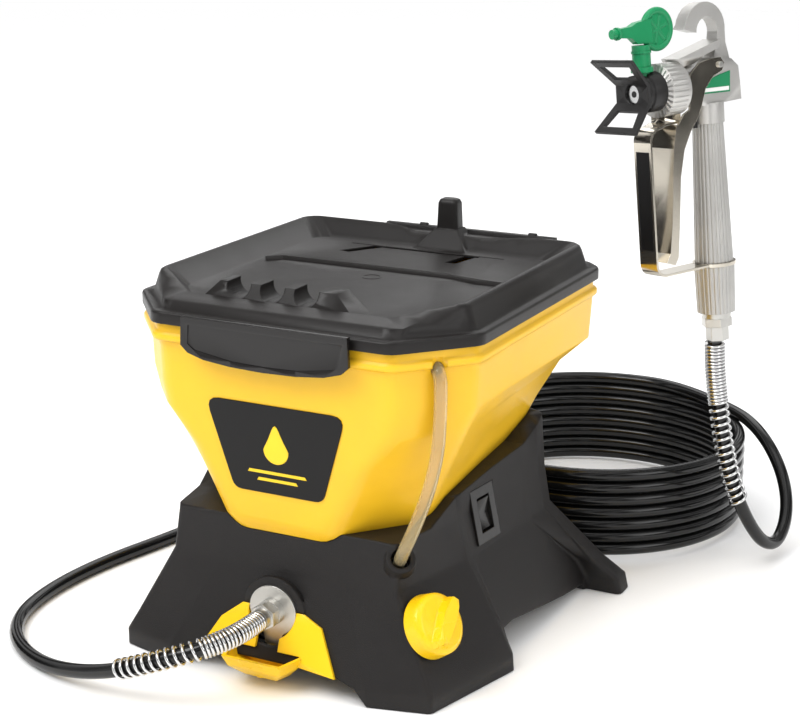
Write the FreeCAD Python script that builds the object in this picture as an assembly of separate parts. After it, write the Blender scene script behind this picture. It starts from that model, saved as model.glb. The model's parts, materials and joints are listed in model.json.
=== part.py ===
import FreeCAD, Part
import math
import os

# Airless paint sprayer: a four-legged base that holds the motor and the piston pump,
# a funnel-shaped paint tank with a hinged lid on top, and a spray gun on a long hose.
# Millimetres. X to the right seen from the front, -Y the front, +Z up.
# The origin is on the floor, midway between the two front legs and under the pump's outlet.

# ---- driving dimensions -------------------------------------------------------------
WALL = 3.0                     # base shell
TANK_WALL = 2.6
GAP = 0.3                      # clearance between separate bodies

LID_Z = 273.7                  # underside of the lid's flange
LID_TOP = 302.0                # rim round the lid's tray
TRAY_Z = 287.5                 # floor of the lid's tray
HINGE_Y, HINGE_Z = 184.5, 271.0
HINGE_X = (-62.0, 62.0)

OUTLET_Z = 56.0                # height of the pump's axis
FRONT_Y = -134.5               # face that the outlet washer lies on
FRONT_SLOPE = 0.387            # how far the base's front wall falls back for each mm up

CRANK_Y = 34.0                 # crank centre, on the pump's axis
GEAR_MODULE = 1.0
GEAR_TEETH = 54
PINION_TEETH = 12
MOTOR_DROP = math.radians(17.7)
MOTOR_R = 26.0

HOSE_R = 5.8
HOSE_BORE = 3.2
COIL_CENTRE = (82.0, 325.0)
COIL_R = 144.0                 # middle of the turns
COIL_PITCH = 11.7
COIL_START, COIL_END = 169.0, 50.0
COIL_TURNS = 7 + (COIL_START - COIL_END) / 360.0
COIL_TOP = HOSE_R + COIL_TURNS * COIL_PITCH

GUN_FOOT = (233.6, 225.0, 226.6)      # lower face of the gun's swivel
GUN_UP = (-0.0977, 0.0, 0.9952)
GUN_NOZZLE = (-0.470, -0.882, 0.0)    # the way the nozzle points, before the tilt

KNOB_AXIS = (0.839, -0.236, 0.490)
KNOB_SEAT = (121.3, -110.9, 57.2)     # centre of the knob's seat on the leg

V = FreeCAD.Vector


# ---- helpers ------------------------------------------------------------------------
def mirrored(half):
    """Close a right-hand half outline (front to rear) with its mirror image."""
    return list(half) + [(-x, y) for x, y in reversed(half)]


def inset(points, distance):
    """Move every side of a closed anticlockwise outline inwards."""
    out = []
    n = len(points)
    for i in range(n):
        a, b, c = points[i - 1], points[i], points[(i + 1) % n]
        u = unit2(b[0] - a[0], b[1] - a[1])
        w = unit2(c[0] - b[0], c[1] - b[1])
        nu, nw = (-u[1], u[0]), (-w[1], w[0])
        k = distance / (1.0 + nu[0] * nw[0] + nu[1] * nw[1])
        out.append((b[0] + k * (nu[0] + nw[0]), b[1] + k * (nu[1] + nw[1])))
    return out


def unit2(x, y):
    size = math.hypot(x, y)
    return (x / size, y / size)


def rounded(points, radius, steps=4):
    """Round every corner of a closed outline; each corner becomes steps + 1 points."""
    out = []
    n = len(points)
    for i in range(n):
        a, b, c = points[i - 1], points[i], points[(i + 1) % n]
        back = unit2(a[0] - b[0], a[1] - b[1])
        on = unit2(c[0] - b[0], c[1] - b[1])
        corner = math.acos(max(-1.0, min(1.0, back[0] * on[0] + back[1] * on[1])))
        reach = 0.45 * min(math.dist(a, b), math.dist(b, c))
        cut = max(0.3, min(radius / math.tan(0.5 * corner), reach))
        for k in range(steps + 1):
            t = k / steps
            out.append(tuple(b[j] + cut * ((1.0 - t) ** 2 * back[j] + t * t * on[j]) for j in (0, 1)))
    return out


def wire(points, z):
    vectors = [V(x, y, z) for x, y in points]
    return Part.makePolygon(vectors + [vectors[0]])


def prism(points, z0, z1):
    return Part.Face(wire(points, z0)).extrude(V(0, 0, z1 - z0))


def loft(sections):
    """Ruled solid through (z, outline) sections that all have as many points."""
    return Part.makeLoft([wire(points, z) for z, points in sections], True, True)


def box(x0, x1, y0, y1, z0, z1):
    return Part.makeBox(x1 - x0, y1 - y0, z1 - z0, V(x0, y0, z0))


def rod(start, direction, radius, length):
    return Part.makeCylinder(radius, length, V(*start), V(*direction))


def ring(start, direction, outer, inner, length):
    hole = rod(start, direction, inner, length)
    return rod(start, direction, outer, length).cut(hole)


def cone(start, direction, r0, r1, length):
    return Part.makeCone(r0, r1, length, V(*start), V(*direction))


def plate(points, direction):
    """Flat outline in space, thickened along a vector."""
    vectors = [V(*p) for p in points]
    return Part.Face(Part.makePolygon(vectors + [vectors[0]])).extrude(V(*direction))


def side_plate(outline, y0, y1):
    """Outline given as (x, z), thickened from y0 to y1."""
    return plate([(x, y0, z) for x, z in outline], (0, y1 - y0, 0))


def hexagon(start, direction, across, length, turn=0.0):
    """Hexagonal bar, its size given across flats."""
    corner = across / math.sqrt(3.0)
    points = [V(corner * math.cos(math.radians(60 * i + turn)),
                corner * math.sin(math.radians(60 * i + turn)), 0) for i in range(6)]
    bar = Part.Face(Part.makePolygon(points + [points[0]])).extrude(V(0, 0, length))
    bar.Placement = FreeCAD.Placement(V(*start), FreeCAD.Rotation(V(0, 0, 1), V(*direction)))
    return bar


def fuse(shapes):
    return shapes[0].multiFuse(list(shapes[1:]))


def strap(points, thickness, width):
    """Bent strip in the XZ plane, centred on Y=0."""
    left, right = [], []
    for i, b in enumerate(points):
        a = points[max(i - 1, 0)]
        c = points[min(i + 1, len(points) - 1)]
        u = unit2(*(b[0] - a[0], b[1] - a[1])) if i else unit2(c[0] - b[0], c[1] - b[1])
        w = unit2(c[0] - b[0], c[1] - b[1]) if i < len(points) - 1 else u
        k = 0.5 * thickness / (1.0 + u[0] * w[0] + u[1] * w[1])
        nx, nz = -(u[1] + w[1]) * k, (u[0] + w[0]) * k
        left.append((b[0] + nx, b[1] + nz))
        right.append((b[0] - nx, b[1] - nz))
    return side_plate(left + right[::-1], -0.5 * width, 0.5 * width)


def arc_points(centre, radius, start, end, steps):
    return [(centre[0] + radius * math.cos(math.radians(start + (end - start) * i / steps)),
             centre[1] + radius * math.sin(math.radians(start + (end - start) * i / steps)))
            for i in range(steps + 1)]


def route(points, print_name=None):
    """Straight runs joined by tangent arcs, each as large as its two runs allow."""
    pts = [V(*p) for p in points]
    edges, last, radii = [], pts[0], []
    for a, b, c in zip(pts, pts[1:], pts[2:]):
        back, on = (a - b), (c - b)
        reach = 0.45 * min(back.Length, on.Length)
        back.normalize()
        on.normalize()
        half_turn = 0.5 * (math.pi - back.getAngle(on))
        radius = reach / math.tan(half_turn)
        radii.append(radius)
        start, end = b + back * reach, b + on * reach
        bisector = back + on
        bisector.normalize()
        middle = b + bisector * (radius / math.cos(half_turn) - radius)
        edges.append(Part.LineSegment(last, start).toShape())
        edges.append(Part.Arc(start, middle, end).toShape())
        last = end
    edges.append(Part.LineSegment(last, pts[-1]).toShape())
    path = Part.Wire(edges)
    if print_name:
        print(print_name, "length", round(path.Length, 1), "smallest radius", round(min(radii), 1))
    return path


def pipe(path, outer, inner=0.0):
    """Round tube swept along a route."""
    start = path.Edges[0].Vertexes[0].Point
    along = path.Edges[0].tangentAt(path.Edges[0].FirstParameter)

    def sweep(radius):
        section = Part.Wire([Part.makeCircle(radius, start, along)])
        return path.makePipeShell([section], True, False)

    solid = sweep(outer)
    if inner:
        solid = solid.cut(sweep(inner))
    return solid


def sub_route(points, first, last):
    return route(points[first:last + 1])


def gear(teeth, module, bore, x0, x1, centre, phase):
    """Spur gear on an axis along X; phase is the angle of one tooth, from +Y towards +Z."""
    tip, root = 0.5 * module * teeth + 0.85 * module, 0.5 * module * teeth - 1.15 * module
    step = 2.0 * math.pi / teeth
    outline = []
    for i in range(teeth):
        for part, radius in ((-0.30, root), (-0.11, tip), (0.11, tip), (0.30, root)):
            angle = phase + (i + part) * step
            outline.append((x0, centre[0] + radius * math.cos(angle), centre[1] + radius * math.sin(angle)))
    body = plate(outline, (x1 - x0, 0, 0))
    return body.cut(rod((x0 - 1, centre[0], centre[1]), (1, 0, 0), bore, x1 - x0 + 2))


PARTS = {}


def keep(name, shape):
    PARTS[name] = shape


# ---- outlines -----------------------------------------------------------------------
LID_OUTLINE = mirrored([(102.5, -136.0), (150.0, -81.5), (150.0, 158.0), (132.0, 177.0)])
TRAY_OUTLINE = mirrored([(86.0, -101.0), (114.0, -68.0), (114.0, 135.0), (106.0, 143.0)])

# Base: outlines of the outer skin, right-hand half from the front to the rear.
BASE_LEVELS = (
    (0.6, [(88, -150), (137, -138), (163, -42), (157, -32), (154, 134), (187, 134), (187, 156), (150, 164)]),
    (13.5, [(88, -150), (137, -138), (162, -42), (156, -32), (153, 134), (184, 134), (184, 156), (149, 164)]),
    (30.0, [(80, -143.7), (128, -134), (153, -41), (148, -32), (148, 126), (168, 124), (168, 146), (140, 152)]),
    (85.0, [(56, -122.5), (100, -121), (121, -40), (121, -32), (127, 66), (129, 96), (128, 114), (112, 120)]),
    (118.0, [(54, -117.5), (98, -116), (112, -40), (112.5, -32), (123, 66), (125, 92), (124, 110), (110, 116)]),
    (190.0, [(54, -112.0), (92, -110), (109, -40), (109.5, -32), (119, 66), (121, 90), (120, 106), (108, 112)]),
)

# Tank: outlines of the outer skin below its rim.
TANK_LEVELS = (
    (84.0, [(18, -72), (32, -58), (32, -20), (20, -8)]),
    (98.0, [(30, -98), (70, -52), (72, 66), (60, 80)]),
    (106.0, [(38, -115.5), (88, -57), (84, 84), (74, 97)]),
    (122.0, [(48, -121.5), (97, -62), (93, 93), (82, 106)]),
    (150.0, [(60, -124.0), (108, -68), (103, 104), (91, 117)]),
    (178.0, [(73, -125.5), (123, -76), (114, 116), (101, 130)]),
    (206.0, [(96, -127.1), (136.5, -80), (127, 134), (113, 150)]),
    (224.0, [(99, -128.1), (143, -78), (146, 150), (132, 166)]),
    (262.0, [(99, -130.2), (144.5, -78), (147, 155), (130, 173)]),
)
TANK_CORNER = 20.0
LID_CORNER = 17.0
TRAY_CORNER = 13.0
BASE_CORNER = 5.0
ROOF = ((-200, 121), (-74, 121), (-43, 136), (13, 144), (67, 149), (110, 165), (200, 165))


def lid_outline(distance):
    """Outline of the lid, moved inwards, with round corners."""
    return rounded(inset(LID_OUTLINE, distance), LID_CORNER)


def tray_outline(distance=0.0):
    return rounded(inset(TRAY_OUTLINE, distance), TRAY_CORNER)


def tank_outline(half, distance):
    return rounded(inset(mirrored(half), distance), TANK_CORNER)


def above_roof(drop):
    """Everything above the line where the base ends, lowered by a distance."""
    outline = [(-200, 260)] + [(y, z - drop) for y, z in ROOF] + [(200, 260)]
    return plate([(-250, y, z) for y, z in outline], (500, 0, 0))


# ---- base ---------------------------------------------------------------------------
def tank_outer(extra=0.0):
    return loft([(z, tank_outline(half, -extra)) for z, half in TANK_LEVELS])


PLATE = mirrored([(100, -104), (108, -96), (108, 118), (98, 128)])
BOSSES = ((84.0, -92.0), (98.0, 104.0))
FEET = ((112.0, -128.0), (168.0, 145.0))
RING_AT = (99.5, -114.5, 109.0)
RING_AXIS = (0.45, -0.60, 0.66)
PAN_Z = 9.0


def base_housing():
    outer = loft([(z, rounded(mirrored(half), BASE_CORNER, 3)) for z, half in BASE_LEVELS])
    hollow = loft([(max(z, 4.0), rounded(inset(mirrored(half), WALL), BASE_CORNER, 3)) for z, half in BASE_LEVELS])
    shell = outer.cut(above_roof(0.0)).cut(hollow.cut(above_roof(WALL)))
    bosses = [rod((sx * x, y, PAN_Z + 3.2), (0, 0, 1), 6.0, 60.0) for x, y in BOSSES for sx in (-1, 1)]
    bosses.append(rod(RING_AT, [-c for c in RING_AXIS], 12.5, 14.0))
    shell = shell.fuse([b.common(outer) for b in bosses])
    shell = shell.fuse(cone([RING_AT[i] + 1.2 * RING_AXIS[i] for i in range(3)],
                            [-c for c in RING_AXIS], 11.3, 13.0, 9.0))
    cuts = [tank_outer(GAP)]
    cuts.append(prism(PLATE, -1.0, PAN_Z + 3.1))
    # arches between the legs
    cuts.append(plate([(x, -200, z) for x, z in
                       ((-90, -1), (90, -1), (78, 13), (58, 19), (-58, 19), (-78, 13))], (0, 100, 0)))
    cuts.append(plate([(-200, y, z) for y, z in
                       ((-40, -1), (132, -1), (128, 6), (-12, 29), (-30, 29))], (400, 0, 0)))
    cuts.append(plate([(x, 120, z) for x, z in
                       ((-144, -1), (144, -1), (120, 22), (-120, 22))], (0, 90, 0)))
    # recess and bore for the outlet
    cuts.append(rod((0, FRONT_Y, OUTLET_Z), (0, 1, 0), 12.0, 40.0))
    cuts.append(rod((0, FRONT_Y - 12, OUTLET_Z), (0, 1, 0), 27.0, 12.0))
    # knob seat, stem bore and hole for the return tube
    cuts.append(rod(KNOB_SEAT, KNOB_AXIS, 28.0, 20.0))
    cuts.append(rod([KNOB_SEAT[i] - 30 * KNOB_AXIS[i] for i in range(3)], KNOB_AXIS, 9.3, 40.0))
    cuts.append(rod([RING_AT[i] + 6 * RING_AXIS[i] for i in range(3)], [-c for c in RING_AXIS], 7.4, 40.0))
    cuts.append(switch_box(15.2, 20.2, -30, 20))
    cuts.append(switch_box(17.6, 22.6, 0.1, 12))
    # mains inlet and motor vents in the rear wall
    cuts.append(rod((-70, 100, 60), (0, 1, 0), 8.0, 60.0))
    for i in range(7):
        cuts.append(box(-33 + 11 * i - 2.5, -33 + 11 * i + 2.5, 95, 160, 62, 104))
    for sx in (-1, 1):
        for x, y in BOSSES:
            cuts.append(rod((sx * x, y, 0), (0, 0, 1), 2.0, 30.0))
        for x, y in FEET:
            cuts.append(rod((sx * x, y, -1), (0, 0, 1), 9.2, 3.2))
            cuts.append(rod((sx * x, y, -1), (0, 0, 1), 3.0, 8.0))
    shell = shell.cut(cuts)
    seat = rod([KNOB_SEAT[i] - 4 * KNOB_AXIS[i] for i in range(3)], KNOB_AXIS, 30.0, 4.0)
    seat = seat.cut(rod([KNOB_SEAT[i] - 9 * KNOB_AXIS[i] for i in range(3)], KNOB_AXIS, 9.3, 20.0))
    shell = shell.fuse(seat.common(outer))
    # flat seat behind the outlet washer
    pad = rod((0, FRONT_Y + 4.0, OUTLET_Z), (0, -1, 0), 26.9, 4.0)
    pad = pad.cut(rod((0, FRONT_Y + 9.0, OUTLET_Z), (0, -1, 0), 12.0, 20.0))
    shell = shell.fuse(pad)
    solids = sorted(shell.Solids, key=lambda s: -s.Volume)
    return solids[0]


SWITCH_AT = (116.2, -3.0, 111.0)
SWITCH_TURN = 6.1
SWITCH_LEAN = 12.3


def switch_box(half_y, half_z, x0, x1):
    """Block on the switch's own axes, x0 to x1 along its outward normal."""
    return switch_frame(box(x0, x1, -half_y, half_y, -half_z, half_z))


def switch_frame(shape):
    """Place a shape drawn about the origin onto the leaning side wall, +X outwards."""
    turn = FreeCAD.Rotation(V(0, 0, 1), -SWITCH_TURN)
    shape.Placement = FreeCAD.Placement(V(*SWITCH_AT), turn.multiply(FreeCAD.Rotation(V(0, 1, 0), -SWITCH_LEAN)))
    return shape


def base_parts():
    keep("base_housing", base_housing())
    pan = prism(inset(PLATE, GAP), PAN_Z, PAN_Z + 3.0)
    pan = pan.cut([rod((sx * x, y, 0), (0, 0, 1), 2.3, 30) for x, y in BOSSES for sx in (-1, 1)])
    pan = pan.cut([box(-40 + 16 * i, -32 + 16 * i, -80, -56, 0, 20) for i in range(6)])
    posts = [rod((x, y, PAN_Z + 2.5), (0, 0, 1), 3.5, 44.0 - PAN_Z - 2.5) for x in (-84, -62) for y in (-62, 30)]
    keep("base_plate", fuse([pan] + posts))
    screws = []
    pads = []
    for sx in (-1, 1):
        for x, y in BOSSES:
            head = rod((sx * x, y, PAN_Z - 2.4), (0, 0, 1), 4.0, 2.4)
            screws.append(head.fuse(rod((sx * x, y, PAN_Z), (0, 0, 1), 2.0, 18.0)))
        for x, y in FEET:
            pad = rod((sx * x, y, 0), (0, 0, 1), 9.0, 2.0)
            pads.append(pad.fuse(rod((sx * x, y, 0), (0, 0, 1), 2.95, 6.0)))
    keep("base_screws", Part.makeCompound(screws))
    keep("rubber_feet", Part.makeCompound(pads))
    gland = rod((-70, 112, 60), (0, 1, 0), 7.9, 14.0).fuse(rod((-70, 121.5, 60), (0, 1, 0), 11.0, 4.0))
    gland = gland.fuse(cone((-70, 125.5, 60), (0, 1, 0), 8.0, 5.5, 16.0))
    keep("cord_gland", gland.cut(rod((-70, 100, 60), (0, 1, 0), 4.2, 60)))


# ---- tank ---------------------------------------------------------------------------
SUMP = (0.0, -40.0)


def tank():
    outer = tank_outer()
    band = prism(lid_outline(4.0), 262.0, 278.0)
    bead = loft([(258.8, lid_outline(5.0)), (260.0, lid_outline(1.6)), (261.2, lid_outline(0.8)),
                 (264.3, lid_outline(0.8)), (265.5, lid_outline(1.6)), (266.7, lid_outline(4.0))])
    flare = loft([(250.0, tank_outline(TANK_LEVELS[-1][1], 1.0)), (262.0, lid_outline(4.4))])
    spout = rod((SUMP[0], SUMP[1], 76.0), (0, 0, 1), 21.0, 14.0)
    body = fuse([outer, flare, band, bead, spout])
    inner = loft([(z + TANK_WALL * 0.8, tank_outline(half, TANK_WALL)) for z, half in TANK_LEVELS])
    mouth = loft([(255.0, tank_outline(TANK_LEVELS[-1][1], 4.0)), (264.0, lid_outline(7.0)),
                  (279.0, lid_outline(7.0))])
    cuts = [inner, mouth, rod((SUMP[0], SUMP[1], 70.0), (0, 0, 1), 15.0, 30.0)]
    # gap in the bead and hole in the wall for the return tube
    cuts.append(return_gap())
    cuts.append(tube_port())
    body = body.cut(cuts)
    lugs = []
    for x in HINGE_X:
        for dx in (-13.0, 7.0):
            lug = side_lug(x + dx, x + dx + 6.0, 258.5, HINGE_Z)
            lugs.append(lug)
    body = body.fuse(lugs)
    pins = [rod((x - 14.0, HINGE_Y, HINGE_Z), (1, 0, 0), 2.5, 28.0) for x in HINGE_X]
    body = body.cut(pins)
    return sorted(body.Solids, key=lambda s: -s.Volume)[0]


def side_lug(x0, x1, z_low, z_pin):
    """Hinge ear standing out of the rear wall at the pin."""
    web = plate([(x0, y, z) for y, z in ((171.0, z_low), (171.0, z_pin - 0.5), (HINGE_Y, z_pin + 4.9),
                                        (HINGE_Y + 4.9, z_pin), (HINGE_Y, z_pin - 4.9))], (x1 - x0, 0, 0))
    eye = rod((x0, HINGE_Y, z_pin), (1, 0, 0), 5.0, x1 - x0)
    return web.cut(box(x0 - 1, x1 + 1, 160, 174.0, z_pin - 5, z_pin + 12)).fuse(eye)


TUBE_R = 5.0
TUBE_TOP = (128.5, -107.0)
TUBE_IN = (-0.754, 0.657)
TUBE_POINTS = (
    (TUBE_TOP[0] + 30 * TUBE_IN[0], TUBE_TOP[1] + 30 * TUBE_IN[1], 260.0),
    (TUBE_TOP[0], TUBE_TOP[1], 260.0),
    (128.5, -107.0, 225.0),
    (127.0, -108.0, 195.0),
    (121.0, -111.0, 165.0),
    (112.5, -116.0, 138.0),
    (RING_AT[0] + 10 * RING_AXIS[0], RING_AT[1] + 10 * RING_AXIS[1], RING_AT[2] + 10 * RING_AXIS[2]),
    (RING_AT[0] - 14 * RING_AXIS[0], RING_AT[1] - 14 * RING_AXIS[1], RING_AT[2] - 14 * RING_AXIS[2]),
)


def return_gap():
    return rod((TUBE_TOP[0], TUBE_TOP[1], 250.0), (0, 0, 1), 6.4, 17.5)


def tube_port():
    """Room for the tube where it bends in through the rim."""
    return pipe(route(TUBE_POINTS[:4]), TUBE_R + 0.2)


def tank_parts():
    keep("tank", tank())
    keep("tank_gasket", ring((SUMP[0], SUMP[1], 73.4), (0, 0, 1), 20.0, 15.0, 2.6))
    screen = ring((SUMP[0], SUMP[1], 85.0), (0, 0, 1), 14.8, 13.0, 6.0)
    bars = [box(SUMP[0] - 14, SUMP[0] + 14, SUMP[1] - 10 + 5 * i - 0.6, SUMP[1] - 10 + 5 * i + 0.6, 88, 91)
            for i in range(5)]
    bars += [box(SUMP[0] - 10 + 5 * i - 0.6, SUMP[0] - 10 + 5 * i + 0.6, SUMP[1] - 14, SUMP[1] + 14, 88, 91)
             for i in range(5)]
    disc = rod((SUMP[0], SUMP[1], 85.0), (0, 0, 1), 14.8, 10.0)
    keep("inlet_screen", fuse([screen] + [b.common(disc) for b in bars]))
    slope = (128.1 - 125.5) / (224.0 - 178.0)
    corners = rounded([(-39, 147), (39, 147), (61, 219), (-61, 219)], 9.0)
    face = [(x, -125.65 - (z - 178.0) * slope, z) for x, z in corners]
    keep("label_plate", plate(face, (0, -0.8, 0)))
    path = route(TUBE_POINTS, "return tube")
    keep("return_tube", pipe(path, TUBE_R, 3.6))
    end, before = V(*TUBE_POINTS[-1]), V(*TUBE_POINTS[-2])
    down = end - before
    down.normalize()
    barb = rod(end - down * 12.0, down, 3.5, 26.0).fuse(rod(end + down * 0.2, down, 6.8, 5.0))
    keep("return_barb", barb.cut(rod(end - down * 14.0, down, 2.0, 40.0)))


# ---- lid ----------------------------------------------------------------------------
LATCH_X = 71.0
LATCH_Y, LATCH_Z = -140.0, 281.6
LATCH_EARS = (-31.0, 27.0)
REST_X = (-47.0, -17.3, 12.5)
REST_R = 10.5
CRADLE_Y = (-104.0, -79.0)
POST = (10.0, 161.0)


def low_front(drop):
    """Room over the lid's front, where the rim slopes down to the tray; drop leaves a roof under it."""
    outline = ((-150, 289.5), (-118, 289.5), (-78, 302.2), (-78, 312), (-150, 312))
    return plate([(-160, y, z - drop) for y, z in outline], (320, 0, 0))


def lid():
    outer = loft([(LID_Z, lid_outline(0.0)), (281.0, lid_outline(0.0)), (282.6, lid_outline(0.7)),
                  (283.2, lid_outline(2.2))])
    rise = loft([(283.0, lid_outline(9.0)), (297.5, lid_outline(13.6)), (300.5, lid_outline(15.0)),
                 (LID_TOP, lid_outline(17.5))])
    tray = loft([(TRAY_Z, tray_outline()), (LID_TOP + 0.2, lid_outline(19.5))])
    under = loft([(279.0, lid_outline(12.0)), (298.0, lid_outline(17.5))])
    keep_tray = loft([(TRAY_Z - 2.6, tray_outline(-2.0)), (LID_TOP, lid_outline(17.5))])
    groove = prism(lid_outline(2.6), LID_Z - 1, 278.3)
    shell = outer.fuse(rise)
    shell = shell.cut([groove, tray, under.cut([keep_tray, low_front(3.0)]), prism(lid_outline(12.0), 278, 279.1),
                       low_front(0.0)])
    # lower front section of the tray, divided off by a rounded step
    step = [(-104, 36), (-94, 47), (62, 47), (88, 40), (113, 40), (113, 43), (89, 43.5), (63, 51), (-96, 51),
            (-107, 39)]
    ridge = prism(step, TRAY_Z - 0.5, TRAY_Z + 3.0)
    # cradle with three half-round rests
    y0, y1 = CRADLE_Y
    cradle = side_plate([(-80, TRAY_Z - 0.5), (57, TRAY_Z - 0.5), (38, 303), (-64, 303)], y0, y1)
    rests = [rod((x, y0 - 1, 301), (0, 1, 0), REST_R, y1 - y0 + 2) for x in REST_X]
    front_slope = plate([(-90, y, z) for y, z in ((y0 - 1, 288), (y0 + 7, 304), (y0 - 1, 304))], (160, 0, 0))
    cradle = cradle.cut(rests + [front_slope])
    # post with a spreading foot, and the rear rail that carries the hinge
    px, py = POST
    foot = loft([(TRAY_Z - 0.5, [(px - 26, py - 27), (px + 26, py - 27), (px + 26, py + 4), (px - 26, py + 4)]),
                 (304.0, [(px - 10.5, py - 12), (px + 10.5, py - 12), (px + 10.5, py + 4.3), (px - 10.5, py + 4.3)])])
    stem = [(px - 10, py - 12), (px + 10, py - 12), (px + 10, py + 4.2), (px - 10, py + 4.2)]
    post = loft([(303.0, rounded(stem, 4.0)), (326.0, rounded(inset(stem, 0.8), 4.0)),
                 (329.0, rounded(inset(stem, 2.0), 4.0)), (330.0, rounded(inset(stem, 4.0), 4.0))])
    rail = plate([(-57, y, z) for y, z in ((164, 290), (166, 301.5), (171, 301.5), (176, 283), (168, 283))],
                 (162, 0, 0))
    bumps = [rod((x, 168.5, 301.5), (1, 0, 0), 2.2, 7.0) for x in (-24.0, 80.0)]
    shell = fuse([shell, ridge, cradle, foot, post, rail] + bumps)
    dip = prism([(-50, 158.5), (px - 26, 153), (px + 26, 153), (100, 158.5), (100, 163.5), (-50, 163.5)],
                298.5, 304)
    shell = shell.cut(dip.cut(post.fuse(foot)))
    # T-shaped slot at the rear of the tray and its two legs
    slots = [box(-72, 74, 128, 130.5, 280, 292), box(-48, 52, 124, 130, 280, 292),
             plate([(-48, 130, 280), (-40, 124, 280), (-58, 96, 280), (-68, 98, 280)], (0, 0, 12)),
             plate([(40, 130, 280), (50, 128, 280), (44, 96, 280), (34, 96, 280)], (0, 0, 12))]
    shell = shell.cut(slots)
    mark = ring((4, 22, TRAY_Z - 0.5), (0, 0, 1), 8.0, 6.6, 0.9)
    ears = [plate([(x, y, z) for y, z in ((-134.2, 278.2), (-139.0, 282.7), (-141.3, 280.2), (-134.6, 274.0),
                                         (-134.2, 274.0))], (4.0, 0, 0)) for x in LATCH_EARS]
    ears += [rod((x, LATCH_Y, LATCH_Z), (1, 0, 0), 1.9, 4.0) for x in LATCH_EARS]
    shell = shell.fuse([mark] + ears)
    shell = shell.cut([rod((x - 0.5, LATCH_Y, LATCH_Z), (1, 0, 0), 1.1, 5.0) for x in LATCH_EARS])
    knuckles = [lid_knuckle(x) for x in HINGE_X]
    shell = shell.fuse(knuckles)
    shell = shell.cut([rod((x - 14, HINGE_Y, HINGE_Z), (1, 0, 0), 2.55, 28) for x in HINGE_X])
    return sorted(shell.Solids, key=lambda s: -s.Volume)[0]


def lid_knuckle(x):
    """Hinge eye hanging from the lid's rear flange."""
    web = plate([(x - 6.6, y, z) for y, z in ((175.0, 283.0), (HINGE_Y + 4.8, 283.0), (HINGE_Y + 4.8, HINGE_Z),
                                             (HINGE_Y - 4.8, HINGE_Z), (HINGE_Y - 4.8, 275.0), (175.0, 275.0))],
                (13.2, 0, 0))
    return web.fuse(rod((x - 6.6, HINGE_Y, HINGE_Z), (1, 0, 0), 4.8, 13.2))


def latch():
    """Front tongue: a bowed plate that hooks under the tank's bead."""
    outline = [(-LATCH_X, 284.0), (-LATCH_X - 1.0, 262.0), (-66, 256.5), (-52, 252.5), (-28, 250.0), (0, 249.2),
               (28, 250.0), (52, 252.5), (66, 256.5), (LATCH_X + 1.0, 262.0), (LATCH_X, 284.0)]
    face = side_plate(outline, -143.6, -140.2)
    top = plate([(-LATCH_X, y, z) for y, z in ((-143.6, 280.0), (-138.4, 280.0), (-138.4, 284.0), (-139.0, 284.6),
                                              (-142.6, 284.6), (-143.6, 283.8))], (2 * LATCH_X, 0, 0))
    lip = plate([(-50, y, z) for y, z in ((-140.4, 254.6), (-134.2, 256.8), (-134.2, 258.3), (-140.4, 258.3))],
                (100, 0, 0))
    panel = side_plate([(-65, 278.3), (-66, 263.5), (-60, 259.0), (-28, 254.2), (0, 253.4), (28, 254.2),
                        (60, 259.0), (66, 263.5), (65, 278.3)], -144.2, -142.6)
    body = fuse([face, top, lip]).cut(panel)
    for x in LATCH_EARS:
        body = body.cut([box(x - GAP, x + 4.0 + GAP, -142.3, -130, 278.4, 283.9),
                         rod((x - 5.0, LATCH_Y, LATCH_Z), (1, 0, 0), 1.15, 14.0)])
    return sorted(body.Solids, key=lambda s: -s.Volume)[0]


def lid_parts():
    keep("lid", lid())
    keep("lid_hinge_pins", Part.makeCompound([rod((x - 13.6, HINGE_Y, HINGE_Z), (1, 0, 0), 2.5, 27.2)
                                              for x in HINGE_X]))
    keep("lid_latch", latch())
    keep("latch_pins", Part.makeCompound([rod((x - 4.5, LATCH_Y, LATCH_Z), (1, 0, 0), 1.1, 13.0)
                                          for x in LATCH_EARS]))


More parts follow.
